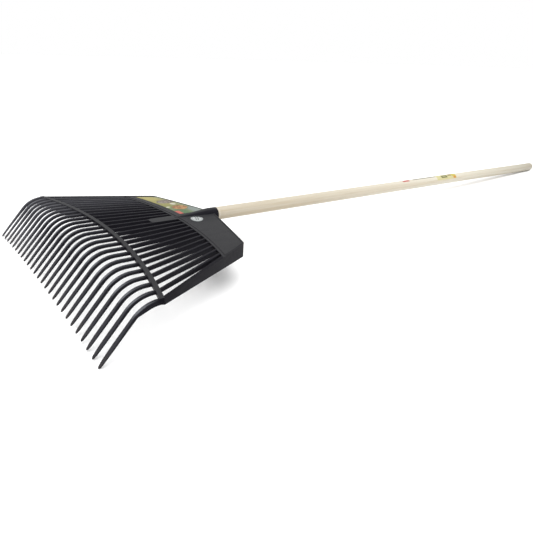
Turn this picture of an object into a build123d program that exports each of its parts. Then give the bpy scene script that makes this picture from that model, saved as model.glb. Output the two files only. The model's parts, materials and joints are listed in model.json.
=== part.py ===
from build123d import *
import math
import os

# Leaf rake: a one-piece moulded plastic head with 26 bent tines on a wooden handle.
# Everything is drawn in the handle's own frame first: +Y runs up the handle to the grip,
# +Z is the upper side, and the origin is on the handle's axis at the mouth of the socket.
# At the end the rake is laid down on its tine tips and the free end of the handle.

# --- handle ---
HANDLE_RADIUS = 14.0
HANDLE_EXPOSED = 1429.0
GRIP_ROUNDING = 9.0
SHOULDER_CHAMFER = 1.0
SPIGOT_LENGTH = 60.0
SPIGOT_RADIUS_MOUTH = 11.2
SPIGOT_RADIUS_END = 6.2
BORE_END_GAP = 1.0

# --- socket, coaxial with the handle ---
SOCKET_RADIUS = 14.3
SOCKET_STRAIGHT = 20.0
SOCKET_NOSE = 66.0
SOCKET_NOSE_RADIUS = 8.8
RIDGE_END = 97.0
RIDGE_END_RADIUS = 5.6
SOCKET_BLEND = 60.0
MOUTH_ROUNDING = 0.7

# --- fixing screw, from below through the socket wall into the spigot ---
SCREW_Y = -16.0
SCREW_SHANK_RADIUS = 2.0
SCREW_LENGTH = 13.0
SCREW_HEAD_RADIUS = 4.2
SCREW_HEAD_HEIGHT = 2.4
SCREW_SEAT_DEPTH = 1.0
SCREW_POCKET_LENGTH = 10.0
SCREW_GAP = 0.3
SCREW_SLOT_WIDTH = 1.0
SCREW_SLOT_DEPTH = 1.2

# --- head: upper surface, crowned from side to side ---
CROWN_RADIUS = 5200.0
DECK_HEIGHT = 4.9
DECK_HALF = 330.0
DECK_REAR_Y = 30.0
DECK_LENGTH = 330.0
COLUMN_HALF = 60.0
PLATE_THICKNESS = 3.2
WALL = 2.8

# --- shoulder plate, as seen from above ---
REAR_EDGE_Y = -7.1
REAR_EDGE_SLOPE = 0.254
BEAM_OFFSET_X = 156.3
BEAM_SLOPE = 0.5468
CORNER_ROUNDING = 14.0
FRONT_EDGE_Y = -96.5
FRONT_EDGE_RADIUS = 934.0
SKIRT_BOTTOM_Z = -23.0
SKIRT_BOTTOM_Y = -75.0
SKIRT_BOTTOM_SLOPE = 0.048
BEAD_HEIGHT = 0.7
FRONT_BEAD_INSET = 8.0
FRONT_BEAD_WIDTH = 2.4
REAR_BEAD_INSET = 2.0
REAR_BEAD_WIDTH = 1.6
TONGUE_HALF_WIDTH = 13.0
TONGUE_END_Y = -151.0
TONGUE_ROOT = 20.0
TONGUE_ROUNDING = 9.0

# --- ribs and tines ---
TINE_COUNT = 26
SLOT_PITCH = 17.82
RIB_WIDTH = 5.5
RIB_SINK = 0.5
RIB_DEPTH_PLATE = 9.6
RIB_DEPTH_CROSSBAR = 5.5
RIB_DEPTH_CENTRE_EXTRA = 1.3
RIB_ROOT = 8.0
TINE_PITCH = 24.1
TINE_WIDTH = 6.2
TINE_DEPTH = 5.6
TINE_SINK = 0.2
TINE_ROOT = 2.0
EDGE_ROUNDING = 1.3
BEND_START_Y = -273.2
BEND_START_SAG = 2.5
BEND_RADIUS = 55.0
BEND_ANGLE = 49.9
TINE_STRAIGHT = 77.5
FLARE_AT = 22.0
FLARE_WIDTH = 7.9
FLARE_DEPTH = 4.2
BLADE_AT = 44.0
BLADE_WIDTH = 9.0
BLADE_DEPTH = 3.1
TAPER_AT = 70.0
TAPER_WIDTH = 7.1
TAPER_DEPTH = 2.6
TIP_WIDTH = 5.0
TIP_DEPTH = 2.3
TIP_NOSE = 2.0
TIP_NOSE_SCALE = 0.45
FLAT_ROUNDING_SHARE = 0.42
TIP_HALF = 301.7

# --- crossbar ---
CROSSBAR_Y = -238.5
CROSSBAR_RADIUS = 1316.0
CROSSBAR_WIDTH = 7.8
CROSSBAR_DEPTH = 4.9
CROSSBAR_PROUD = 1.0
CROSSBAR_END_X = 303.6

# --- side beams and the webs that join them to the outermost tines ---
BEAM_WIDTH = 5.8
BEAM_END_Y = -271.0
GUSSET_WIDTH = 5.2
GUSSET_SINK = 1.0
GUSSET_START_Y = -270.0
GUSSET_START_DEPTH = 9.6
GUSSET_BEND_DEPTH = 8.5
GUSSET_BEND_ANGLE = 24.0
GUSSET_TOE_ANGLE = 45.0

# --- printed trim ---
LABEL_THICKNESS = 0.15
LABEL_RIDGE_X = -16.5
LABEL_FRONT_INSET = 20.0
LABEL_REAR_INSET = 4.2
LABEL_OUTER_SLIDE = 13.2
BADGE_CENTRE = (31.3, -63.7)
BADGE_LENGTH = 34.0
BADGE_WIDTH = 25.0
BADGE_ANGLE = -20.0
BADGE_RIM = 0.8
BADGE_DOME = 1.4
STICKER_START_Y = 628.0
STICKER_LENGTH = 274.0
STICKER_TURN = 30.0
STICKER_HALF_ANGLE = 45.0
STICKER_THICKNESS = 0.12

# --- margin inside which two coordinates count as the same ---
SAME_PLACE = 0.01


def crown(x):
    """Height of the crowned upper surface at a distance x from the middle."""
    return DECK_HEIGHT - x * x / (2 * CROWN_RADIUS)


def crowned_slab(top, bottom):
    """Layer that follows the crowned upper surface, between two offsets from it."""
    centre_z = DECK_HEIGHT - CROWN_RADIUS

    def crown_arc(shift):
        radius = CROWN_RADIUS + shift
        side_z = centre_z + math.sqrt(radius**2 - DECK_HALF**2)
        return ThreePointArc((-DECK_HALF, side_z), (0, centre_z + radius), (DECK_HALF, side_z))

    upper = crown_arc(top)
    lower = crown_arc(bottom)
    outline = Curve() + [upper, Line(upper @ 1, lower @ 1), lower, Line(lower @ 0, upper @ 0)]
    profile = Plane.XZ.offset(-DECK_REAR_Y) * make_face(outline)
    return extrude(profile, DECK_LENGTH)


def upright(face):
    """Tall column on a plan shape, to be cut by the crowned layers."""
    return Pos(0, 0, -COLUMN_HALF) * extrude(face, 2 * COLUMN_HALF)


def frame_outline(inset=0.0, end_y=BEAM_END_Y):
    """Plan shape inside the rear edge and the outer faces of the two beams."""
    rear_y = REAR_EDGE_Y - inset * math.hypot(1, REAR_EDGE_SLOPE)
    beam_x = BEAM_OFFSET_X - inset * math.hypot(1, BEAM_SLOPE)
    corner_x = (beam_x - BEAM_SLOPE * rear_y) / (1 - BEAM_SLOPE * REAR_EDGE_SLOPE)
    corner_y = rear_y - REAR_EDGE_SLOPE * corner_x
    end_x = beam_x - BEAM_SLOPE * end_y
    right = [(corner_x, corner_y), (end_x, end_y)]
    left = [(-x, y) for x, y in reversed(right)]
    face = make_face(Polyline((0, rear_y), *right, *left, close=True))
    corners = [v for v in face.vertices() if abs(v.Y - corner_y) < SAME_PLACE]
    return fillet(corners, CORNER_ROUNDING - inset)


def front_edge_y(x, inset=0.0):
    return FRONT_EDGE_Y + inset - FRONT_EDGE_RADIUS + math.sqrt(FRONT_EDGE_RADIUS**2 - x**2)


def behind_front_edge(inset=0.0):
    """Plan shape of everything from the plate's curved front edge back to the handle."""
    side_y = front_edge_y(DECK_HALF, inset)
    arc = ThreePointArc((-DECK_HALF, side_y), (0, FRONT_EDGE_Y + inset), (DECK_HALF, side_y))
    rest = Polyline(arc @ 1, (DECK_HALF, DECK_REAR_Y), (-DECK_HALF, DECK_REAR_Y), arc @ 0)
    return make_face(Curve() + [arc, rest])


def tongue():
    """Plan shape of the flat tongue in front of the ridge."""
    length = FRONT_EDGE_Y - TONGUE_END_Y + TONGUE_ROOT
    outline = RectangleRounded(2 * TONGUE_HALF_WIDTH, length, TONGUE_ROUNDING)
    return Pos(0, TONGUE_END_Y + length / 2) * outline


def plate_beads():
    """Low raised lines that follow the front and the rear of the plate."""
    room = frame_outline(REAR_BEAD_INSET)
    rear_line = room - frame_outline(REAR_BEAD_INSET + REAR_BEAD_WIDTH)
    front_limit = behind_front_edge(FRONT_BEAD_INSET - FRONT_BEAD_WIDTH)
    front_line = front_limit - behind_front_edge(FRONT_BEAD_INSET)
    lines = (front_line & room) + (rear_line & front_limit)
    return crowned_slab(BEAD_HEIGHT, -PLATE_THICKNESS / 2) & upright(lines)


def below_skirt():
    """Space under the skirt's lower edge, which rises towards the crossbar."""
    def edge_z(y):
        return SKIRT_BOTTOM_Z - SKIRT_BOTTOM_SLOPE * (y - SKIRT_BOTTOM_Y)

    far_y = DECK_REAR_Y - DECK_LENGTH
    points = [(DECK_REAR_Y, edge_z(DECK_REAR_Y)), (far_y, edge_z(far_y))]
    points += [(far_y, -2 * COLUMN_HALF), (DECK_REAR_Y, -2 * COLUMN_HALF)]
    return extrude(Plane.YZ * make_face(Polyline(*points, close=True)), DECK_HALF, both=True)


def shell():
    """Plate, both side beams and the skirt that hangs from their outer edges, as one wall."""
    past_end_y = BEAM_END_Y - BEAM_WIDTH
    opening = frame_outline(BEAM_WIDTH, past_end_y) - behind_front_edge() - tongue()
    outside = crowned_slab(0, -COLUMN_HALF) & upright(frame_outline() - opening)
    inside = crowned_slab(-PLATE_THICKNESS, -2 * COLUMN_HALF) & upright(frame_outline(WALL, past_end_y))
    return outside - inside - below_skirt()


def crossbar_y(x):
    return CROSSBAR_Y - CROSSBAR_RADIUS + math.sqrt(CROSSBAR_RADIUS**2 - x**2)


def crossbar():
    """Flat bar across all the tines, curved in plan and proud of them."""
    reach = CROSSBAR_END_X

    def curve(shift):
        side_y = crossbar_y(reach) + shift
        return ThreePointArc((-reach, side_y), (0, CROSSBAR_Y + shift), (reach, side_y))

    near = curve(CROSSBAR_WIDTH / 2)
    far = curve(-CROSSBAR_WIDTH / 2)
    strip = make_face(Curve() + [near, Line(near @ 1, far @ 1), far, Line(far @ 0, near @ 0)])
    return crowned_slab(CROSSBAR_PROUD, -CROSSBAR_DEPTH) & upright(strip)


def section(plane, width, depth, rounding):
    """Rounded bar section hanging below the plane's origin."""
    return plane * Pos(0, -depth / 2) * RectangleRounded(width, depth, rounding)


def flat_section(plane, width, depth):
    """Section of the tine's flattened blade, rounded in step with its depth."""
    return section(plane, width, depth, min(EDGE_ROUNDING, FLAT_ROUNDING_SHARE * depth))


def rib(number):
    """Straight rib from under the plate to the crossbar, fanning outwards."""
    start = Vector(number * SLOT_PITCH, front_edge_y(number * SLOT_PITCH))
    end = Vector(number * TINE_PITCH, crossbar_y(number * TINE_PITCH))
    along = (end - start).normalized()
    across = Vector(-along.Y, along.X)
    start = start - along * RIB_ROOT
    start.Z = crown(start.X) - RIB_SINK
    end.Z = crown(end.X) - RIB_SINK
    near = Plane(start, x_dir=across, z_dir=along)
    far = Plane(end, x_dir=across, z_dir=along)
    extra = RIB_DEPTH_CENTRE_EXTRA * (1 - 2 * abs(number) / TINE_COUNT)
    return loft([section(near, RIB_WIDTH, RIB_DEPTH_PLATE + extra, EDGE_ROUNDING),
                 section(far, RIB_WIDTH, RIB_DEPTH_CROSSBAR + extra, EDGE_ROUNDING)])


def tine(number):
    """Tine from inside the crossbar through the bend, then widening into a thin blade with a blunt tip."""
    x = number * TINE_PITCH
    top = crown(x) - TINE_SINK
    start_y = crossbar_y(x) + TINE_ROOT
    bend_y = BEND_START_Y - BEND_START_SAG * (x / TIP_HALF) ** 2
    angle = math.radians(BEND_ANGLE)
    root = Plane((x, start_y, top), x_dir=(1, 0, 0), z_dir=(0, -1, 0))
    flat = extrude(section(root, TINE_WIDTH, TINE_DEPTH, EDGE_ROUNDING), start_y - bend_y)
    hinge = Axis((x, bend_y, top - BEND_RADIUS), (1, 0, 0))
    bend_face = section(root.offset(start_y - bend_y), TINE_WIDTH, TINE_DEPTH, EDGE_ROUNDING)
    bend = revolve(bend_face, hinge, revolution_arc=BEND_ANGLE)
    down = Vector(0, -math.cos(angle), -math.sin(angle))
    bend_end = Vector(x, bend_y - BEND_RADIUS * math.sin(angle), top - BEND_RADIUS * (1 - math.cos(angle)))
    upper = Plane(bend_end, x_dir=(1, 0, 0), z_dir=down)
    blade = loft([
        section(upper, TINE_WIDTH, TINE_DEPTH, EDGE_ROUNDING),
        flat_section(upper.offset(FLARE_AT), FLARE_WIDTH, FLARE_DEPTH),
        flat_section(upper.offset(BLADE_AT), BLADE_WIDTH, BLADE_DEPTH),
        flat_section(upper.offset(TAPER_AT), TAPER_WIDTH, TAPER_DEPTH),
    ])
    lower = upper.offset(TINE_STRAIGHT - TIP_NOSE)
    tip = upper.offset(TINE_STRAIGHT) * Pos(0, -TIP_DEPTH * (1 - TIP_NOSE_SCALE) / 2)
    taper = loft([flat_section(upper.offset(TAPER_AT), TAPER_WIDTH, TAPER_DEPTH),
                  flat_section(lower, TIP_WIDTH, TIP_DEPTH)])
    nose = loft([flat_section(lower, TIP_WIDTH, TIP_DEPTH),
                 flat_section(tip, TIP_WIDTH * TIP_NOSE_SCALE, TIP_DEPTH * TIP_NOSE_SCALE)])
    return flat + bend + blade + taper + nose


def end_gusset(side):
    """Web that carries the beam's depth under the bend of the outermost tine."""
    top = crown(TIP_HALF) - TINE_SINK
    hinge_y = BEND_START_Y - BEND_START_SAG

    def on_bend(depth, angle):
        turn = math.radians(angle)
        radius = BEND_RADIUS - depth
        return (hinge_y - radius * math.sin(turn), top - BEND_RADIUS + radius * math.cos(turn))

    start = [(GUSSET_START_Y, top - GUSSET_SINK), (GUSSET_START_Y, top - GUSSET_START_DEPTH)]
    under = ThreePointArc(*[on_bend(GUSSET_BEND_DEPTH, GUSSET_BEND_ANGLE * share) for share in (0, 0.5, 1)])
    toe = [on_bend(TINE_DEPTH - GUSSET_SINK, GUSSET_TOE_ANGLE), on_bend(GUSSET_SINK, GUSSET_TOE_ANGLE)]
    outline = Curve() + [Polyline(*start, under @ 0), under, Polyline(under @ 1, *toe, start[0])]
    web = extrude(Plane.YZ * make_face(outline), GUSSET_WIDTH / 2, both=True)
    return Pos(side * TINE_PITCH * (TINE_COUNT - 1) / 2, 0, 0) * web


def turned(points):
    """Solid of revolution about the handle's axis from (radius, y) points."""
    return revolve(make_face(Polyline(*points, close=True)), Axis.Y)


def spigot(end_gap=0.0):
    """Tapered lower end of the handle, or the bore that holds it."""
    end_y = -SPIGOT_LENGTH - end_gap
    return turned([(0, 0), (SPIGOT_RADIUS_MOUTH, 0), (SPIGOT_RADIUS_END, end_y), (0, end_y)])


def socket():
    """Conical socket that runs forward into the ridge over the plate."""
    points = [(SOCKET_RADIUS, 0), (SOCKET_RADIUS, -SOCKET_STRAIGHT)]
    points += [(SOCKET_NOSE_RADIUS, -SOCKET_NOSE), (RIDGE_END_RADIUS, -RIDGE_END)]
    wall = FilletPolyline(*points, radius=SOCKET_BLEND)
    closing = Polyline(wall @ 1, (0, -RIDGE_END), (0, 0), wall @ 0)
    body = revolve(make_face(Curve() + [wall, closing]), Axis.Y)
    circles = body.edges() | GeomType.CIRCLE
    mouth = [edge for edge in circles if abs(edge.center().Y) < SAME_PLACE]
    return fillet(mouth, MOUTH_ROUNDING)


def screw_seat():
    """Pocket and hole for the fixing screw, from below."""
    seat_z = -SOCKET_RADIUS + SCREW_SEAT_DEPTH
    pocket = Cylinder(SCREW_HEAD_RADIUS + SCREW_GAP, SCREW_POCKET_LENGTH)
    pocket = Pos(0, SCREW_Y, seat_z - SCREW_POCKET_LENGTH / 2) * pocket
    hole = Pos(0, SCREW_Y, seat_z + SCREW_LENGTH / 2) * Cylinder(SCREW_SHANK_RADIUS, SCREW_LENGTH)
    return pocket + hole


def rake_head():
    numbers = [index - (TINE_COUNT - 1) / 2 for index in range(TINE_COUNT)]
    head = shell() + plate_beads() + crossbar() + socket()
    head += [rib(number) for number in numbers[1:-1]]
    head += [tine(number) for number in numbers]
    head += [end_gusset(-1), end_gusset(1)]
    return head - spigot(BORE_END_GAP) - screw_seat()


def handle():
    """Turned pole with a tapered spigot below and a domed end at the grip."""
    shaft = Pos(0, HANDLE_EXPOSED / 2, 0) * Rot(90, 0, 0) * Cylinder(HANDLE_RADIUS, HANDLE_EXPOSED)
    shoulder = (shaft.edges() | GeomType.CIRCLE).sort_by(Axis.Y)[0]
    shaft = chamfer(shoulder, SHOULDER_CHAMFER)
    grip = (shaft.edges() | GeomType.CIRCLE).sort_by(Axis.Y)[-1]
    return fillet(grip, GRIP_ROUNDING) + spigot() - screw_seat()


def handle_screw():
    """Pan-head wood screw with a cross slot."""
    seat_z = -SOCKET_RADIUS + SCREW_SEAT_DEPTH
    shank = Pos(0, SCREW_Y, seat_z + SCREW_LENGTH / 2) * Cylinder(SCREW_SHANK_RADIUS, SCREW_LENGTH)
    head = Pos(0, SCREW_Y, seat_z - SCREW_HEAD_HEIGHT / 2) * Cylinder(SCREW_HEAD_RADIUS, SCREW_HEAD_HEIGHT)
    rim = (head.edges() | GeomType.CIRCLE).sort_by(Axis.Z)[0]
    head = fillet(rim, SCREW_HEAD_HEIGHT / 2)
    slot = Box(SCREW_HEAD_RADIUS, SCREW_SLOT_WIDTH, 2 * SCREW_SLOT_DEPTH)
    slot += Rot(0, 0, 90) * slot
    return head + shank - Pos(0, SCREW_Y, seat_z - SCREW_HEAD_HEIGHT) * slot


def product_label():
    """Thin printed label on the left half of the plate, from the ridge to short of the beam."""
    slide = Pos(LABEL_OUTER_SLIDE, LABEL_OUTER_SLIDE * REAR_EDGE_SLOPE)
    area = slide * frame_outline(LABEL_REAR_INSET) & behind_front_edge(LABEL_FRONT_INSET)
    left = Pos(LABEL_RIDGE_X - DECK_HALF / 2, 0) * Rectangle(DECK_HALF, 2 * DECK_LENGTH)
    return crowned_slab(LABEL_THICKNESS, 0) & upright(area & left)


def maker_badge():
    """Small domed oval badge on the right half of the plate."""
    x, y = BADGE_CENTRE
    oval = Pos(x, y) * Rot(0, 0, BADGE_ANGLE) * Ellipse(BADGE_LENGTH / 2, BADGE_WIDTH / 2)
    dome_radius = (BADGE_LENGTH / 2) ** 2 / (2 * BADGE_DOME)
    dome = Pos(x, y, crown(x) + BADGE_RIM + BADGE_DOME - dome_radius) * Sphere(dome_radius)
    return crowned_slab(2 * (BADGE_RIM + BADGE_DOME), 0) & upright(oval) & dome


def handle_sticker():
    """Thin printed strip along the handle, turned from the top towards the right side."""
    ring = Circle(HANDLE_RADIUS + STICKER_THICKNESS) - Circle(HANDLE_RADIUS)
    reach = 2 * HANDLE_RADIUS
    half_width = reach * math.tan(math.radians(STICKER_HALF_ANGLE))
    wedge = make_face(Polyline((0, 0), (half_width, reach), (-half_width, reach), close=True))
    profile = Plane.XZ.offset(-STICKER_START_Y) * (ring & wedge)
    return Rot(0, STICKER_TURN, 0) * extrude(profile, -STICKER_LENGTH)


def lay_down(nodes):
    """Stand the rake on its tine tips and the handle's free end, centred on the floor."""
    tips_y = nodes["rake_head"].bounding_box().min.Y
    tips_z = nodes["rake_head"].bounding_box().min.Z
    slope = math.atan2(-HANDLE_RADIUS - tips_z, HANDLE_EXPOSED - GRIP_ROUNDING - tips_y)
    lean = Rot(-math.degrees(slope), 0, 0)
    box = Compound(children=[lean * shape for shape in nodes.values()]).bounding_box()
    place = Pos(-(box.min.X + box.max.X) / 2, -(box.min.Y + box.max.Y) / 2, -box.min.Z)
    return {name: place * lean * shape for name, shape in nodes.items()}


def main():
    nodes = {
        "rake_head": rake_head(),
        "handle": handle(),
        "handle_screw": handle_screw(),
        "product_label": product_label(),
        "maker_badge": maker_badge(),
        "handle_sticker": handle_sticker(),
    }
    os.makedirs("parts", exist_ok=True)
    for name, shape in lay_down(nodes).items():
        export_step(shape, f"parts/{name}.step")


main()
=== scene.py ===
import json
import math

import bpy
from mathutils import Euler, Matrix, Vector


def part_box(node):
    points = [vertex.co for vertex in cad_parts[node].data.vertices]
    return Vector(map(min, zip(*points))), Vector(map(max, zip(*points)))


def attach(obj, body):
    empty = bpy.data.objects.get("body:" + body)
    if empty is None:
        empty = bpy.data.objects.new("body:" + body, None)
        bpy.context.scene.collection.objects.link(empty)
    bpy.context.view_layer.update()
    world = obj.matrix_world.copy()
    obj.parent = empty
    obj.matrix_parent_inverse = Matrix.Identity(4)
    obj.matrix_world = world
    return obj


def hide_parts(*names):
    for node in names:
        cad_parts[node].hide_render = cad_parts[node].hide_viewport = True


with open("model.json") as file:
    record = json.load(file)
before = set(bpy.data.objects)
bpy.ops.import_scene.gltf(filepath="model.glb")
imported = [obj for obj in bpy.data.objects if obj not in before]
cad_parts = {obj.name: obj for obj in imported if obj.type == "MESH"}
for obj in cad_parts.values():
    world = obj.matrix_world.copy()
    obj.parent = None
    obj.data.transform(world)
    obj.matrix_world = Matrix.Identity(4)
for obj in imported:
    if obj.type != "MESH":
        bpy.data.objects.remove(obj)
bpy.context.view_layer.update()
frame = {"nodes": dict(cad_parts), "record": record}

# --- the handle's own frame: origin on its axis at the socket's mouth, +Y to the grip ---
SHAFT = frame["record"]["mounts"][0]
SHAFT_AXIS = Vector(SHAFT["axis"]).normalized()
SHAFT_RADIUS = SHAFT["dims"]["r_mm"] / 1000
SHAFT_LENGTH = SHAFT["dims"]["length_mm"] / 1000
SHOULDER = 0.001
MOUTH = Vector(SHAFT["pos_m"]) - SHAFT_AXIS * (SHAFT_LENGTH / 2 + SHOULDER)
LEAN = math.atan2(SHAFT_AXIS.z, SHAFT_AXIS.y)
HANDLE_FRAME = Matrix.Translation(MOUTH) @ Matrix.Rotation(LEAN, 4, "X")

# --- camera, in the handle's frame ---
CAMERA_PLACE = (0.84422, -0.53085, 0.29409)
CAMERA_ANGLES = (67.478, -3.224, 52.468)
CAMERA_LENS = 32.28
SENSOR = 36.0

# --- handle mesh ---
GRIP_ROUNDING = 0.009
SPIGOT = 0.06
SPIGOT_RADII = (0.0112, 0.0062)
HANDLE_SIDES = 96
DOME_STEPS = 14
SHAFT_STEPS = 60
SHARP_ANGLE = 35

# --- light: name, bearing, height and width in degrees, power ---
WHITE = (1.0, 1.0, 1.0, 1.0)
STUDIO_GAIN = 1.3
SKY_LIGHT = 0.62 * STUDIO_GAIN
SUNS = (
    ("top_softbox", -20, 76, 70, 1.45 * STUDIO_GAIN),
    ("front_softbox", 120, 50, 60, 1.0 * STUDIO_GAIN),
)

# --- floor ---
FLOOR_TONES = ((0.925, 0.925, 0.925, 1.0), (0.945, 0.945, 0.945, 1.0))
FLOOR_CLOUD = (0.7, 2.0)
FLOOR_RADIUS = 30.0
FLOOR_SIDES = 96


def linear(*shades):
    """Linear RGBA of a paint that shows these sRGB shades of 0 to 255 in the bright studio."""
    def one(value):
        share = value / 255
        return share / 12.92 if share <= 0.04045 else ((share + 0.055) / 1.055) ** 2.4
    return (*[one(value) / STUDIO_GAIN for value in shades], 1.0)


# A noise is (scale per metre, detail, roughness). A streak is (stretch along X, Y and Z, detail, roughness).
# A share is (from low, from high) of the value read, then (to low, to high) of the result where given.
# Places are in the handle's frame, in metres.

# --- black plastic: places ---
PLATE_EDGE_CENTRE_Y = -1.0305
PLATE_EDGE_RADIUS = 0.934
TONGUE_HALF_WIDTH = 0.013
TONGUE_END_Y = -0.151
CROSSBAR_CENTRE_Y = -1.5545
CROSSBAR_RADIUS = 1.316
CROSSBAR_HALF_WIDTH = 0.0037
TINE_FADE = 5 * CROSSBAR_HALF_WIDTH
BEAM_SLOPE = 0.5468
BEAM_INNER_X = 0.1525
BEAM_FADE = 0.003
# Painted sheen: the far side of the head, towards -X, is painted lighter between these places.
FAR_SHEEN_X = (-0.06, -0.24)
CREST_HIGHLIGHT_Z = (-0.030, -0.004, 0.006)
DUST_Z = (-0.055, -0.077)
PLACE_SOFTNESS = 0.0005
BAR_SOFTNESS = 0.0004

# --- black plastic: surface ---
PLASTIC_GRAIN = (2600, 2.0, 0.6)
PLASTIC_CLOUD = (34, 4.0, 0.55)
PLASTIC_SPECK = (900, 1.0, 0.5)
PLASTIC_FLOW = ((70, 9, 70), 3.0, 0.5)
LEVEL_FACING = (0.80, 0.97)
TINE_FACING = (-0.2, 0.75)
CREST_HIGHLIGHT_FACING = (0.72, 0.93, 0.08)
DUST_CLOUD = (0.35, 0.65, 0.2, 1.0)
WEAR_SPECK = (0.42, 0.62, 0.25, 1.0)
CREST_HIGHLIGHT_SPECK = (0.3, 0.6, 0.5, 1.0)
FLOW_SHARE = (0.45, 0.7, 0.0, 0.30)
WEAR_STRENGTH = 0.35
DUST_STRENGTH = 0.30
CLOUD_GLOSS = (0.3, 0.7, 0.28, 0.36)
LEVEL_GLOSS = 0.06
DUST_GLOSS = 0.25
PLATE_GRAIN = (0.0, 1.0, 0.35, 1.0)
FLOW_HEIGHT = 0.00008
GRAIN_HEIGHT = 0.00010
WORN_EDGE_RADIUS = 0.0007
ROUNDED_EDGE_RADIUS = 0.0006
SIDE_TONES = (linear(15, 14, 19), linear(25, 24, 30))
# Painted light: the ribs and slots inside the near beam are painted lighter, as if lit from the front.
RIB_LIT_TONES = (linear(23, 22, 27), linear(34, 33, 39))
# Painted sheen: lighter tones for the far side of the head.
FAR_SIDE_SHEEN_TONES = (linear(58, 58, 62), linear(74, 74, 79))
# Painted reflection: the upward faces of the plate, tongue and crossbar are painted lighter.
LEVEL_REFLECTION_TONES = (linear(47, 47, 49), linear(60, 60, 62))
# Painted sheen: the tines' upper and side faces are painted greyer than their undersides.
TINE_SHEEN_TONES = (linear(50, 50, 55), linear(64, 64, 69))
# Painted sheen: lighter tones for the tines on the far side.
FAR_TINE_SHEEN_TONES = (linear(76, 76, 81), linear(94, 94, 99))
FLOW_TONE = linear(40, 40, 44)
# Painted highlight on the crests of the tines' bends.
CREST_HIGHLIGHT_TONE = linear(112, 115, 120)
WORN_TONE = linear(84, 84, 88)
DUST_TONE = linear(88, 83, 76)

# --- wood ---
WOOD_LENGTH = 1.43
WOOD_TONES = (
    (0.0, linear(202, 192, 173)), (0.20, linear(202, 193, 175)), (0.36, linear(214, 206, 189)),
    (0.58, linear(222, 216, 200)), (0.78, linear(208, 202, 186)), (0.92, linear(192, 187, 172)),
    (1.0, linear(178, 172, 158)),
)
WOOD_WARP = ((18, 1.4, 18), 2.0, 0.5)
WOOD_WARP_X = 0.016
WOOD_WARP_Z = -0.012
WOOD_RINGS = ((170, 2.2, 170), 4.0, 0.6)
WOOD_FIBRE = ((1500, 14, 1500), 3.0, 0.6)
WOOD_PORES = ((2600, 60, 2600), 1.0, 0.5)
WOOD_PATCH = ((30, 3.2, 30), 3.0, 0.55)
RING_TINT = (0.90, 0.86, 0.80, 1.0)
DEEP_TINT = (0.66, 0.60, 0.50, 1.0)
PATCH_TONE = linear(222, 216, 200)
RING_SHARE = (0.42, 0.66)
FIBRE_SHARE = (0.52, 0.78, 0.0, 0.28)
PATCH_SHARE = (0.48, 0.72, 0.0, 0.30)
PORE_SHARE = (0.68, 0.80, 0.0, 0.40)
FIBRE_RISE = 0.7
PORE_SINK = -0.5
FIBRE_GLOSS = (0.35, 0.7, 0.45, 0.60)
WOOD_HEIGHT = 0.00010
CUT_RING_Y = (0.0, 0.005, 0.0008)
CUT_RING_STRENGTH = 0.35
CUT_RING_TONE = linear(216, 211, 196)

# --- label ---
LABEL_X = (-0.195, -0.015)
LABEL_TONES = (
    (0.0, linear(168, 158, 90)), (0.30, linear(158, 148, 78)), (0.62, linear(136, 132, 70)),
    (0.82, linear(108, 122, 76)), (1.0, linear(96, 112, 82)),
)
LABEL_FINE = (420, 3.0, 0.6)
LABEL_BLOTCH = (75, 2.0, 0.5)
LABEL_WAVE = (60, 2.0)
LABEL_WAVE_HEIGHT = 0.0001
LEAF_SCALE = 240.0
BLOTCH_SHARE = (0.45, 0.70, 0.0, 0.55)
BLOTCH_TONE = linear(120, 116, 62)
REAR_SLOPE = -0.254
REAR_Y = (-0.026, -0.014)
REAR_STRENGTH = 0.75
REAR_TONE = linear(122, 130, 106)
FADE_SHARE = (0.40, 0.75, 0.0, 0.18)
FADE_TONE = linear(96, 98, 72)
LABEL_GLOSS = (0.3, 0.7, 0.30, 0.42)
# centre, radii, softness, strength, tone
LABEL_SPOTS = (
    ((-0.037, -0.031), (0.024, 0.012), 0.35, 0.9, linear(126, 135, 132)),
    ((-0.030, -0.064), (0.020, 0.015), 0.25, 0.9, linear(72, 104, 62)),
    ((-0.096, -0.052), (0.008, 0.006), 0.3, 0.8, linear(206, 202, 188)),
)
# centre, radii, tones of the leaves
LEAF_PICTURES = (
    ((-0.121, -0.059), (0.0155, 0.0185),
     ((0.0, linear(66, 56, 50)), (0.5, linear(116, 103, 92)), (1.0, linear(158, 146, 132)))),
    ((-0.063, -0.052), (0.0165, 0.0165),
     ((0.0, linear(104, 58, 26)), (0.5, linear(160, 106, 52)), (1.0, linear(182, 142, 90)))),
)
PICTURE_RIM = 0.0014
PICTURE_RIM_SOFTNESS = 0.05
PICTURE_RIM_STRENGTH = 0.6
PICTURE_RIM_TONE = linear(92, 88, 58)
PICTURE_SOFTNESS = 0.10
DOT_SPOT = ((-0.074, -0.0745), (0.0035, 0.0045), 0.2, 1.0, linear(212, 206, 184))
TAG_X = (-0.040, -0.038)
TAG_Y = (-0.066, -0.068)
TAG_TONE = linear(184, 88, 76)

# --- badge ---
BADGE_TURN = -20
BADGE_HALF_SIZE = (0.017, 0.0125)
BADGE_FACE = (0.90, 0.87)
BADGE_RING_OUTSIDE = (0.82, 0.77)
BADGE_RING_INSIDE = (0.77, 0.70)
BADGE_SOFTNESS = 0.02
BADGE_FLECK = (1800, 1.0)
BADGE_FLECK_HEIGHT = 0.00001
BADGE_SILVER_TONES = (linear(166, 171, 171), linear(196, 200, 199))
BADGE_RIM_TONE = linear(112, 117, 119)
BADGE_RING_TONE = linear(66, 84, 77)
BADGE_RING_STRENGTH = 0.85
BADGE_MARK_TONE = linear(44, 58, 52)
BADGE_MARK_STRENGTH = 0.95
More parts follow.
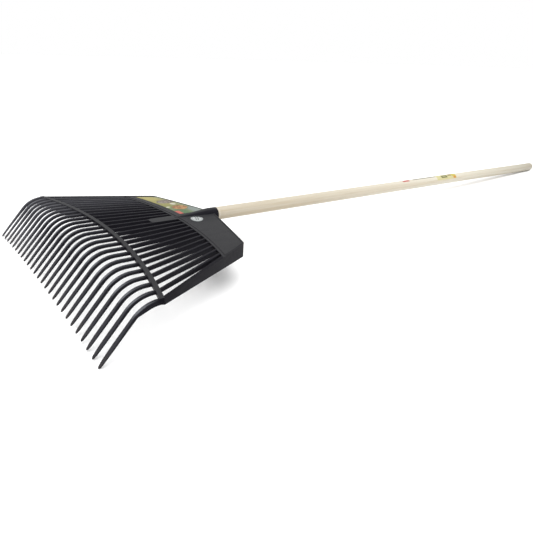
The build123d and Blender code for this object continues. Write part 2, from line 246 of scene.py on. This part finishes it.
# centre, radii of each leaf of the mark
BADGE_LEAVES = (
    ((-0.0066, 0.0), (0.0038, 0.0038)),
    ((0.0, 0.0006), (0.0030, 0.0052)),
    ((0.0066, 0.0), (0.0038, 0.0038)),
)
BADGE_LEAF_SOFTNESS = 0.08
BADGE_VEIN = (-0.0007, 0.0007, 0.0002)

# --- sticker: height angle range in degrees, range along the handle, ink ---
STICKER_MARKS = (
    ((58, 88), (0.634, 0.664), linear(186, 96, 90)),
    ((70, 84), (0.681, 0.795), linear(110, 112, 100)),
    ((8, 112), (0.797, 0.908), linear(206, 198, 148)),
    ((38, 80), (0.822, 0.853), linear(112, 112, 66)),
    ((52, 64), (0.829, 0.846), linear(176, 172, 124)),
    ((56, 108), (0.858, 0.880), linear(150, 138, 92)),
    ((44, 108), (0.880, 0.899), linear(198, 184, 84)),
    ((18, 50), (0.885, 0.899), linear(200, 142, 56)),
)
STICKER_FINE = (1400, 2.0)
STICKER_SOFT_ANGLE = 2.5
STICKER_SOFTNESS = 0.0012
STICKER_WEAR = (0.25, 0.45, 0.78, 1.0)
STICKER_HEIGHT = 0.00006

# --- screw ---
SCREW_CLOUD = (900, 3.0)
SCREW_TURNING = ((300, 300, 9000), 2.0)
SCREW_TURNING_HEIGHT = 0.00002
SCREW_TONES = (linear(168, 170, 166), linear(204, 205, 203))
SCREW_EDGE_RADIUS = 0.0003
SCREW_EDGE_STRENGTH = 0.4
SCREW_EDGE_TONE = linear(228, 228, 228)
SCREW_GLOSS = (0.3, 0.7, 0.28, 0.44)
EDGE_FACING = (0.995, 0.80)


class Paint:
    """One procedural material, built node by node."""

    def __init__(self, name):
        self.material = bpy.data.materials.new(name)
        self.material.use_nodes = True
        self.tree = self.material.node_tree
        self.tree.nodes.clear()
        self.shader = self.node("ShaderNodeBsdfPrincipled")
        output = self.node("ShaderNodeOutputMaterial")
        self.tree.links.new(self.shader.outputs[0], output.inputs[0])

    def node(self, kind, inputs=None, **settings):
        made = self.tree.nodes.new(kind)
        for key, value in settings.items():
            setattr(made, key, value)
        for key, value in (inputs or {}).items():
            self.give(made.inputs[key], value)
        return made

    def give(self, socket, value):
        if isinstance(value, bpy.types.NodeSocket):
            self.tree.links.new(value, socket)
        else:
            socket.default_value = value

    def set(self, **values):
        """Sets or links the shader's own sockets. An underscore in a name stands for a space."""
        for key, value in values.items():
            self.give(self.shader.inputs[key.replace("_", " ")], value)

    def math(self, operation, *values):
        made = self.node("ShaderNodeMath", operation=operation)
        for socket, value in zip(made.inputs, values):
            self.give(socket, value)
        return made.outputs[0]

    def times(self, first, second):
        return self.math("MULTIPLY", first, second)

    def length(self, across, along):
        return self.math("SQRT", self.math("ADD", self.times(across, across), self.times(along, along)))

    def object_place(self):
        return self.node("ShaderNodeTexCoord").outputs["Object"]

    def turned_place(self, origin, angles):
        """Coordinates in a frame with this origin and these angles in radians."""
        mapped = self.node("ShaderNodeMapping", {
            "Vector": self.object_place(), "Location": origin, "Rotation": angles}, vector_type="TEXTURE")
        return mapped.outputs[0]

    def handle_place(self):
        """Coordinates in the handle's frame, in metres."""
        return self.turned_place(MOUTH, (LEAN, 0, 0))

    def split(self, vector):
        parts = self.node("ShaderNodeSeparateXYZ", {"Vector": vector})
        return [parts.outputs[axis] for axis in "XYZ"]

    def noise(self, vector, scale, detail=3.0, roughness=0.5):
        made = self.node("ShaderNodeTexNoise", {
            "Vector": vector, "Scale": scale, "Detail": detail, "Roughness": roughness})
        return made.outputs["Fac"]

    def streaks(self, vector, stretch, detail=3.0, roughness=0.5):
        """Noise drawn out by a different scale along each axis."""
        drawn = self.node("ShaderNodeMapping", {"Vector": vector, "Scale": stretch}).outputs[0]
        return self.noise(drawn, 1.0, detail, roughness)

    def ramp(self, value, *stops):
        """Colour ramp from (place, colour) stops."""
        made = self.node("ShaderNodeValToRGB", {"Fac": value})
        elements = made.color_ramp.elements
        while len(elements) < len(stops):
            elements.new(1.0)
        for element, (place, colour) in zip(elements, stops):
            element.position = place
            element.color = colour
        return made.outputs[0]

    def between(self, value, low, high, out_low=0.0, out_high=1.0):
        """Value mapped smoothly from one range to another, held inside it."""
        made = self.node("ShaderNodeMapRange", {
            "Value": value, "From Min": low, "From Max": high, "To Min": out_low, "To Max": out_high},
            interpolation_type="SMOOTHSTEP")
        return made.outputs[0]

    def step(self, value, place, soft):
        """0 below a place and 1 above it, with a soft edge."""
        return self.between(value, place - soft, place + soft)

    def band(self, value, low, high, soft):
        """1 between low and high, 0 outside, with soft edges."""
        fall = self.between(value, high - soft, high + soft, 1.0, 0.0)
        return self.times(self.step(value, low, soft), fall)

    def disc(self, x, y, centre, radii, soft):
        """1 inside an upright ellipse, 0 outside."""
        across = self.math("DIVIDE", self.math("SUBTRACT", x, centre[0]), radii[0])
        along = self.math("DIVIDE", self.math("SUBTRACT", y, centre[1]), radii[1])
        return self.between(self.length(across, along), 1.0 - soft, 1.0 + soft, 1.0, 0.0)

    def mix(self, share, first, second):
        made = self.node("ShaderNodeMix", data_type="RGBA")
        for socket, value in zip((made.inputs[0], made.inputs[6], made.inputs[7]), (share, first, second)):
            self.give(socket, value)
        return made.outputs[2]

    def tint(self, colour, shade):
        made = self.node("ShaderNodeMix", {0: 1.0, 6: colour, 7: shade}, data_type="RGBA",
                         blend_type="MULTIPLY")
        return made.outputs[2]

    def rounded_normal(self, radius, samples):
        return self.node("ShaderNodeBevel", {"Radius": radius}, samples=samples).outputs[0]

    def edge_share(self, radius):
        """How close a point is to a sharp edge, from a rounded normal."""
        straight = self.node("ShaderNodeNewGeometry").outputs["Normal"]
        product = self.node("ShaderNodeVectorMath", {0: self.rounded_normal(radius, 6), 1: straight},
                            operation="DOT_PRODUCT")
        return self.between(product.outputs["Value"], *EDGE_FACING)

    def bump(self, *layers, normal=None):
        """Stacks (height, distance in metres) layers into one normal."""
        for height, distance in layers:
            inputs = {"Height": height, "Distance": distance, "Strength": 1.0}
            if normal is not None:
                inputs["Normal"] = normal
            normal = self.node("ShaderNodeBump", inputs).outputs[0]
        return normal


class HeadRegions:
    """Shares, 0 to 1, of the parts of the head at each place on its surface."""

    def __init__(self, paint, place):
        self.paint = paint
        self.x, self.y, self.z = paint.split(place)
        self.upward = paint.split(paint.node("ShaderNodeNewGeometry").outputs["Normal"])[2]
        self.plate = paint.step(self.reach(PLATE_EDGE_CENTRE_Y), PLATE_EDGE_RADIUS, PLACE_SOFTNESS)
        self.from_bar = self.reach(CROSSBAR_CENTRE_Y)
        self.level = self.level_top()
        # Tines past the crossbar, facing up or sideways: this share carries painted sheen and painted
        # highlights.
        self.tines = paint.times(
            paint.between(self.from_bar, CROSSBAR_RADIUS - CROSSBAR_HALF_WIDTH, CROSSBAR_RADIUS - TINE_FADE),
            paint.between(self.upward, *TINE_FACING))
        # Share of painted sheen, rising towards the far side at -X.
        self.far_side_sheen = paint.between(self.x, *FAR_SHEEN_X)

    def reach(self, centre_y):
        """Distance in plan from a point on the rake's middle line."""
        return self.paint.length(self.x, self.paint.math("SUBTRACT", self.y, centre_y))

    def level_top(self):
        """The upward faces of the plate, the tongue and the crossbar, which get a painted reflection in
        their colour.
        """
        paint = self.paint
        tongue = paint.times(paint.band(self.x, -TONGUE_HALF_WIDTH, TONGUE_HALF_WIDTH, PLACE_SOFTNESS),
                             paint.step(self.y, TONGUE_END_Y, PLACE_SOFTNESS))
        bar = paint.band(self.from_bar, CROSSBAR_RADIUS - CROSSBAR_HALF_WIDTH,
                         CROSSBAR_RADIUS + CROSSBAR_HALF_WIDTH, BAR_SOFTNESS)
        parts = paint.math("MAXIMUM", paint.math("MAXIMUM", self.plate, tongue), bar)
        return paint.times(parts, paint.between(self.upward, *LEVEL_FACING))

    def inside_beam(self):
        """The ribs and slots inside the near side beam."""
        beam_x = self.paint.math("ADD", self.x, self.paint.times(self.y, BEAM_SLOPE))
        return self.paint.between(beam_x, BEAM_INNER_X, BEAM_INNER_X - BEAM_FADE)

    def crest_highlight(self, speck):
        """Painted highlights on the crests of the tines' bends, broken up by specks."""
        paint = self.paint
        crest_highlight = paint.times(paint.band(self.upward, *CREST_HIGHLIGHT_FACING), self.tines)
        crest_highlight = paint.times(crest_highlight, paint.band(self.z, *CREST_HIGHLIGHT_Z))
        return paint.times(crest_highlight, paint.between(speck, *CREST_HIGHLIGHT_SPECK))


def plastic_colour(paint, regions, cloud, flow, speck, dust):
    wear = paint.times(paint.edge_share(WORN_EDGE_RADIUS), paint.between(speck, *WEAR_SPECK))
    colour = paint.mix(cloud, *SIDE_TONES)
    # Painted light: each share paints a lighter copy of the plastic on the ribs, the far side, the upward
    # faces and the tines.
    for share, tones in ((regions.inside_beam(), RIB_LIT_TONES), (regions.far_side_sheen, FAR_SIDE_SHEEN_TONES),
                         (regions.level, LEVEL_REFLECTION_TONES), (regions.tines, TINE_SHEEN_TONES),
                         (paint.times(regions.tines, regions.far_side_sheen), FAR_TINE_SHEEN_TONES)):
        colour = paint.mix(share, colour, paint.mix(cloud, *tones))
    colour = paint.mix(paint.between(flow, *FLOW_SHARE), colour, FLOW_TONE)
    # Painted highlight along the crests of the tines' bends.
    colour = paint.mix(regions.crest_highlight(speck), colour, CREST_HIGHLIGHT_TONE)
    colour = paint.mix(paint.times(wear, WEAR_STRENGTH), colour, WORN_TONE)
    return paint.mix(paint.times(dust, DUST_STRENGTH), colour, DUST_TONE)


def head_plastic():
    """Near-black moulded polypropylene: matt grained plate, ribs darker than the plate, greyer tines. The
    lighter plate top, ribs, tines and far side are painted light, and the tines' bends carry painted
    highlights.
    """
    paint = Paint("moulded_black_polypropylene")
    place = paint.handle_place()
    regions = HeadRegions(paint, place)
    cloud = paint.noise(place, *PLASTIC_CLOUD)
    flow = paint.streaks(place, *PLASTIC_FLOW)
    speck = paint.noise(place, *PLASTIC_SPECK)
    dust = paint.times(paint.between(regions.z, *DUST_Z), paint.between(cloud, *DUST_CLOUD))
    gloss = paint.math("ADD", paint.between(cloud, *CLOUD_GLOSS), paint.times(regions.level, LEVEL_GLOSS))
    gloss = paint.math("ADD", gloss, paint.times(dust, DUST_GLOSS))
    grain = paint.times(paint.noise(place, *PLASTIC_GRAIN), paint.between(regions.plate, *PLATE_GRAIN))
    normal = paint.bump((flow, FLOW_HEIGHT), (grain, GRAIN_HEIGHT),
                        normal=paint.rounded_normal(ROUNDED_EDGE_RADIUS, 4))
    paint.set(Base_Color=plastic_colour(paint, regions, cloud, flow, speck, dust), Roughness=gloss,
              IOR=1.49, Specular_IOR_Level=0.026, Normal=normal)
    return paint.material


def wood_surface(paint, place):
    """Colour, grain height and roughness of the pale turned wood at a place in the handle's frame."""
    y = paint.split(place)[1]
    warp = paint.streaks(place, *WOOD_WARP)
    shift = paint.node("ShaderNodeCombineXYZ", {
        "X": paint.times(warp, WOOD_WARP_X), "Z": paint.times(warp, WOOD_WARP_Z)}).outputs[0]
    bent = paint.node("ShaderNodeVectorMath", {0: place, 1: shift}, operation="ADD").outputs[0]
    rings = paint.streaks(bent, *WOOD_RINGS)
    fibre = paint.streaks(bent, *WOOD_FIBRE)
    pores = paint.streaks(place, *WOOD_PORES)
    patch = paint.streaks(place, *WOOD_PATCH)
    ground = paint.ramp(paint.math("DIVIDE", y, WOOD_LENGTH), *WOOD_TONES)
    deep = paint.tint(ground, DEEP_TINT)
    colour = paint.mix(paint.between(rings, *RING_SHARE), ground, paint.tint(ground, RING_TINT))
    colour = paint.mix(paint.between(fibre, *FIBRE_SHARE), colour, deep)
    colour = paint.mix(paint.between(patch, *PATCH_SHARE), colour, PATCH_TONE)
    colour = paint.mix(paint.between(pores, *PORE_SHARE), colour, deep)
    height = paint.math("ADD", paint.times(fibre, FIBRE_RISE), paint.times(pores, PORE_SINK))
    return colour, height, paint.between(fibre, *FIBRE_GLOSS)


def handle_wood():
    """Pale turned wood, with a lighter cut ring at the socket's mouth."""
    paint = Paint("pale_turned_wood")
    place = paint.handle_place()
    colour, height, gloss = wood_surface(paint, place)
    ring = paint.band(paint.split(place)[1], *CUT_RING_Y)
    colour = paint.mix(paint.times(ring, CUT_RING_STRENGTH), colour, CUT_RING_TONE)
    paint.set(Base_Color=colour, Roughness=gloss, IOR=1.45, Specular_IOR_Level=0.22,
              Normal=paint.bump((height, WOOD_HEIGHT)))
    return paint.material


def add_spot(paint, colour, x, y, centre, radii, soft, strength, tone):
    spot = paint.times(paint.disc(x, y, centre, radii, soft), strength)
    return paint.mix(spot, colour, tone)


def add_picture(paint, colour, x, y, leaf, centre, radii, tones):
    """A round picture of leaves with a darker rim."""
    rim_radii = [radius + PICTURE_RIM for radius in radii]
    colour = add_spot(paint, colour, x, y, centre, rim_radii, PICTURE_RIM_SOFTNESS, PICTURE_RIM_STRENGTH,
                      PICTURE_RIM_TONE)
    return paint.mix(paint.disc(x, y, centre, radii, PICTURE_SOFTNESS), colour, paint.ramp(leaf, *tones))


def label_print():
    """Generic printed film: yellow to green ground, two round leaf pictures and a red corner tag."""
    paint = Paint("printed_label_film")
    place = paint.handle_place()
    x, y, _ = paint.split(place)
    fine = paint.noise(place, *LABEL_FINE)
    cells = paint.node("ShaderNodeTexVoronoi", {"Vector": place, "Scale": LEAF_SCALE})
    leaf = paint.split(cells.outputs["Color"])[0]
    colour = paint.ramp(paint.between(x, *LABEL_X), *LABEL_TONES)
    colour = paint.mix(paint.between(paint.noise(place, *LABEL_BLOTCH), *BLOTCH_SHARE), colour, BLOTCH_TONE)
    from_rear = paint.math("ADD", y, paint.times(x, REAR_SLOPE))
    colour = paint.mix(paint.times(paint.between(from_rear, *REAR_Y), REAR_STRENGTH), colour, REAR_TONE)
    for spot in LABEL_SPOTS:
        colour = add_spot(paint, colour, x, y, *spot)
    for picture in LEAF_PICTURES:
        colour = add_picture(paint, colour, x, y, leaf, *picture)
    colour = add_spot(paint, colour, x, y, *DOT_SPOT)
    tag = paint.times(paint.between(y, *TAG_Y), paint.between(x, *TAG_X))
    colour = paint.mix(tag, colour, TAG_TONE)
    colour = paint.mix(paint.between(fine, *FADE_SHARE), colour, FADE_TONE)
    paint.set(Base_Color=colour, Roughness=paint.between(fine, *LABEL_GLOSS), IOR=1.5,
              Specular_IOR_Level=0.12, Coat_Weight=0.06, Coat_Roughness=0.2,
              Normal=paint.bump((paint.noise(place, *LABEL_WAVE), LABEL_WAVE_HEIGHT)))
    return paint.material


def badge_mark(paint, x, y):
    """Three leaves in a row, crossed by a clear vein."""
    mark = 0.0
    for centre, radii in BADGE_LEAVES:
        mark = paint.math("MAXIMUM", mark, paint.disc(x, y, centre, radii, BADGE_LEAF_SOFTNESS))
    return paint.times(mark, paint.math("SUBTRACT", 1.0, paint.band(y, *BADGE_VEIN)))


def badge_resin():
    """Domed silver-white badge with a darker rim, a ring line and a plain three-leaf mark."""
    paint = Paint("domed_badge_resin")
    low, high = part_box("maker_badge")
    place = paint.turned_place((low + high) / 2, (0, 0, math.radians(BADGE_TURN)))
    x, y, _ = paint.split(place)

    def oval(shares):
        radii = [half * share for half, share in zip(BADGE_HALF_SIZE, shares)]
        return paint.disc(x, y, (0, 0), radii, BADGE_SOFTNESS)

    ring = paint.math("SUBTRACT", oval(BADGE_RING_OUTSIDE), oval(BADGE_RING_INSIDE))
    fleck = paint.noise(place, *BADGE_FLECK)
    colour = paint.mix(oval(BADGE_FACE), BADGE_RIM_TONE, paint.mix(fleck, *BADGE_SILVER_TONES))
    colour = paint.mix(paint.times(ring, BADGE_RING_STRENGTH), colour, BADGE_RING_TONE)
    colour = paint.mix(paint.times(badge_mark(paint, x, y), BADGE_MARK_STRENGTH), colour, BADGE_MARK_TONE)
    paint.set(Base_Color=colour, Roughness=0.22, Metallic=0.15, IOR=1.5, Coat_Weight=0.8,
              Coat_Roughness=0.05, Normal=paint.bump((fleck, BADGE_FLECK_HEIGHT)))
    return paint.material


def sticker_print():
    """Clear film on the wood, with a red mark, a thin dark line and small yellow and green marks."""
    paint = Paint("printed_clear_film")
    place = paint.handle_place()
    x, y, z = paint.split(place)
    height_angle = paint.math("DEGREES", paint.math("ARCTAN2", z, x))
    colour, height, gloss = wood_surface(paint, place)
    wear = paint.between(paint.noise(place, *STICKER_FINE), *STICKER_WEAR)
    for angles, stretch, ink in STICKER_MARKS:
        mark = paint.times(paint.band(height_angle, *angles, STICKER_SOFT_ANGLE),
                           paint.band(y, *stretch, STICKER_SOFTNESS))
        colour = paint.mix(paint.times(mark, wear), colour, ink)
    paint.set(Base_Color=colour, Roughness=gloss, IOR=1.45, Specular_IOR_Level=0.22, Coat_Weight=0.12,
              Coat_Roughness=0.2, Normal=paint.bump((height, STICKER_HEIGHT)))
    return paint.material


def screw_steel():
    """Zinc-plated steel with fine turning marks and brighter edges."""
    paint = Paint("zinc_plated_steel")
    place = paint.object_place()
    cloud = paint.noise(place, *SCREW_CLOUD)
    edge = paint.times(paint.edge_share(SCREW_EDGE_RADIUS), SCREW_EDGE_STRENGTH)
    colour = paint.mix(edge, paint.mix(cloud, *SCREW_TONES), SCREW_EDGE_TONE)
    paint.set(Base_Color=colour, Metallic=1.0, Roughness=paint.between(cloud, *SCREW_GLOSS),
              Normal=paint.bump((paint.streaks(place, *SCREW_TURNING), SCREW_TURNING_HEIGHT)))
    return paint.material


def pale_floor():
    paint = Paint("pale_floor")
    cloud = paint.noise(paint.object_place(), *FLOOR_CLOUD)
    paint.set(Base_Color=paint.mix(cloud, *FLOOR_TONES), Roughness=0.95, Specular_IOR_Level=0.05)
    return paint.material


def mesh_object(name, vertices, faces):
    mesh = bpy.data.meshes.new(name)
    mesh.from_pydata(vertices, [], faces)
    mesh.validate()
    made = bpy.data.objects.new(name, mesh)
    bpy.context.scene.collection.objects.link(made)
    return made


def round_steps(sides):
    """Cosine and sine at each side of a circle."""
    turns = [2 * math.pi * step / sides for step in range(sides)]
    return [(math.cos(turn), math.sin(turn)) for turn in turns]


def lathe(name, profile, sides):
    """Closed surface of revolution about Y from (radius, y) points. Both ends lie on the axis."""
    vertices = [(0, profile[0][1], 0)]
    for radius, y in profile[1:-1]:
        vertices += [(radius * across, y, radius * up) for across, up in round_steps(sides)]
    vertices.append((0, profile[-1][1], 0))
    last = len(vertices) - 1
    rows = len(profile) - 2
    faces = []
    for step in range(sides):
        after = (step + 1) % sides
        faces.append((0, 1 + step, 1 + after))
        for row in range(rows - 1):
            base = 1 + row * sides
            faces.append((base + step, base + sides + step, base + sides + after, base + after))
        base = 1 + (rows - 1) * sides
        faces.append((last, base + after, base + step))
    return mesh_object(name, vertices, faces)


def handle_profile():
    """Spigot inside the socket, shoulder, long shaft and domed grip end, as (radius, y) points."""
    end_y = SHOULDER + SHAFT_LENGTH + GRIP_ROUNDING
    profile = [(0, -SPIGOT), (SPIGOT_RADII[1], -SPIGOT), (SPIGOT_RADII[0], 0)]
    profile += [(SHAFT_RADIUS - SHOULDER, 0), (SHAFT_RADIUS, SHOULDER)]
    for step in range(1, SHAFT_STEPS + 1):
        profile.append((SHAFT_RADIUS, SHOULDER + SHAFT_LENGTH * step / SHAFT_STEPS))
    for step in range(1, DOME_STEPS + 1):
        angle = math.pi / 2 * step / DOME_STEPS
        inset = GRIP_ROUNDING * (1 - math.cos(angle))
        profile.append((SHAFT_RADIUS - inset, end_y - GRIP_ROUNDING * (1 - math.sin(angle))))
    return profile + [(0, end_y)]


def turned_handle():
    piece = lathe("turned_handle", handle_profile(), HANDLE_SIDES)
    piece.data.transform(HANDLE_FRAME)
    piece.data.shade_smooth()
    piece.data.set_sharp_from_angle(angle=math.radians(SHARP_ANGLE))
    return piece


def dress(obj, material):
    obj.data.materials.clear()
    obj.data.materials.append(material)


def sun_light(name, bearing, height, spread, power):
    """Soft sun at a bearing (0 is +Y, 90 is +X) and height in degrees, as wide as its spread."""
    light = bpy.data.lights.new(name, "SUN")
    light.energy = power
    light.angle = math.radians(spread)
    made = bpy.data.objects.new(name, light)
    made.rotation_euler = Euler((math.radians(90 - height), 0, math.radians(180 - bearing)))
    bpy.context.scene.collection.objects.link(made)


def light_the_scene():
    """Even white sky that the camera sees as plain white, and two wide soft suns."""
    world = bpy.data.worlds.new("studio")
    world.use_nodes = True
    nodes, links = world.node_tree.nodes, world.node_tree.links
    sky = nodes["Background"]
    seen = nodes.new("ShaderNodeBackground")
    for background, strength in ((sky, SKY_LIGHT), (seen, 1.0)):
        background.inputs["Color"].default_value = WHITE
        background.inputs["Strength"].default_value = strength
    chooser = nodes.new("ShaderNodeMixShader")
    links.new(nodes.new("ShaderNodeLightPath").outputs["Is Camera Ray"], chooser.inputs[0])
    links.new(sky.outputs[0], chooser.inputs[1])
    links.new(seen.outputs[0], chooser.inputs[2])
    links.new(chooser.outputs[0], nodes["World Output"].inputs[0])
    bpy.context.scene.world = world
    for sun in SUNS:
        sun_light(*sun)


def make_floor():
    ring = [(FLOOR_RADIUS * across, FLOOR_RADIUS * along, 0) for across, along in round_steps(FLOOR_SIDES)]
    floor = mesh_object("floor", ring, [tuple(range(FLOOR_SIDES))])
    dress(floor, pale_floor())


def make_camera():
    data = bpy.data.cameras.new("camera")
    data.lens = CAMERA_LENS
    data.sensor_width = SENSOR
    data.clip_end = 4 * FLOOR_RADIUS
    camera = bpy.data.objects.new("camera", data)
    turn = Euler([math.radians(angle) for angle in CAMERA_ANGLES]).to_matrix().to_4x4()
    camera.matrix_world = HANDLE_FRAME @ Matrix.Translation(CAMERA_PLACE) @ turn
    bpy.context.scene.collection.objects.link(camera)
    bpy.context.scene.camera = camera


def main():
    nodes = frame["nodes"]
    dress(nodes["rake_head"], head_plastic())
    dress(nodes["handle_screw"], screw_steel())
    dress(nodes["product_label"], label_print())
    dress(nodes["maker_badge"], badge_resin())
    dress(nodes["handle_sticker"], sticker_print())
    handle = turned_handle()
    dress(handle, handle_wood())
    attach(handle, "root")
    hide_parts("handle")
    make_floor()
    light_the_scene()
    make_camera()
    bpy.context.scene.view_settings.view_transform = "Standard"
    bpy.context.view_layer.update()


main()
